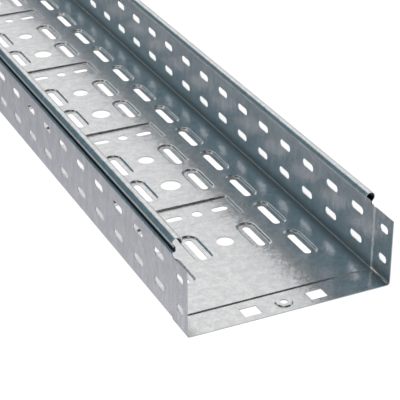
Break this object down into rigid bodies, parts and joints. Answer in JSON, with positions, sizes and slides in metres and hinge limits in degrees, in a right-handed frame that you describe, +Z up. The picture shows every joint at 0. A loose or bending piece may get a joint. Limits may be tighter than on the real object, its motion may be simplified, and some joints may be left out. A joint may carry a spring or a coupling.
{
  "type": "perforated cable tray",
  "caption": "Folded sheet-steel cable tray with rolled rims, dished slots in the base, slotted walls and a widened socket end that takes the next length.",
  "frame": {"origin": "centre of the tray's footprint, on the floor under the dishes", "axes": "+Y along the tray, away from the socket end; +Z up out of the trough; +X across it"},
  "size_m": [0.202, 2, 0.082],
  "materials": {
    "zinc_sheet": "satin zinc coating"
  },
  "bodies": {
    "root": {"tray": "zinc_sheet"}
  },
  "joints": []
}
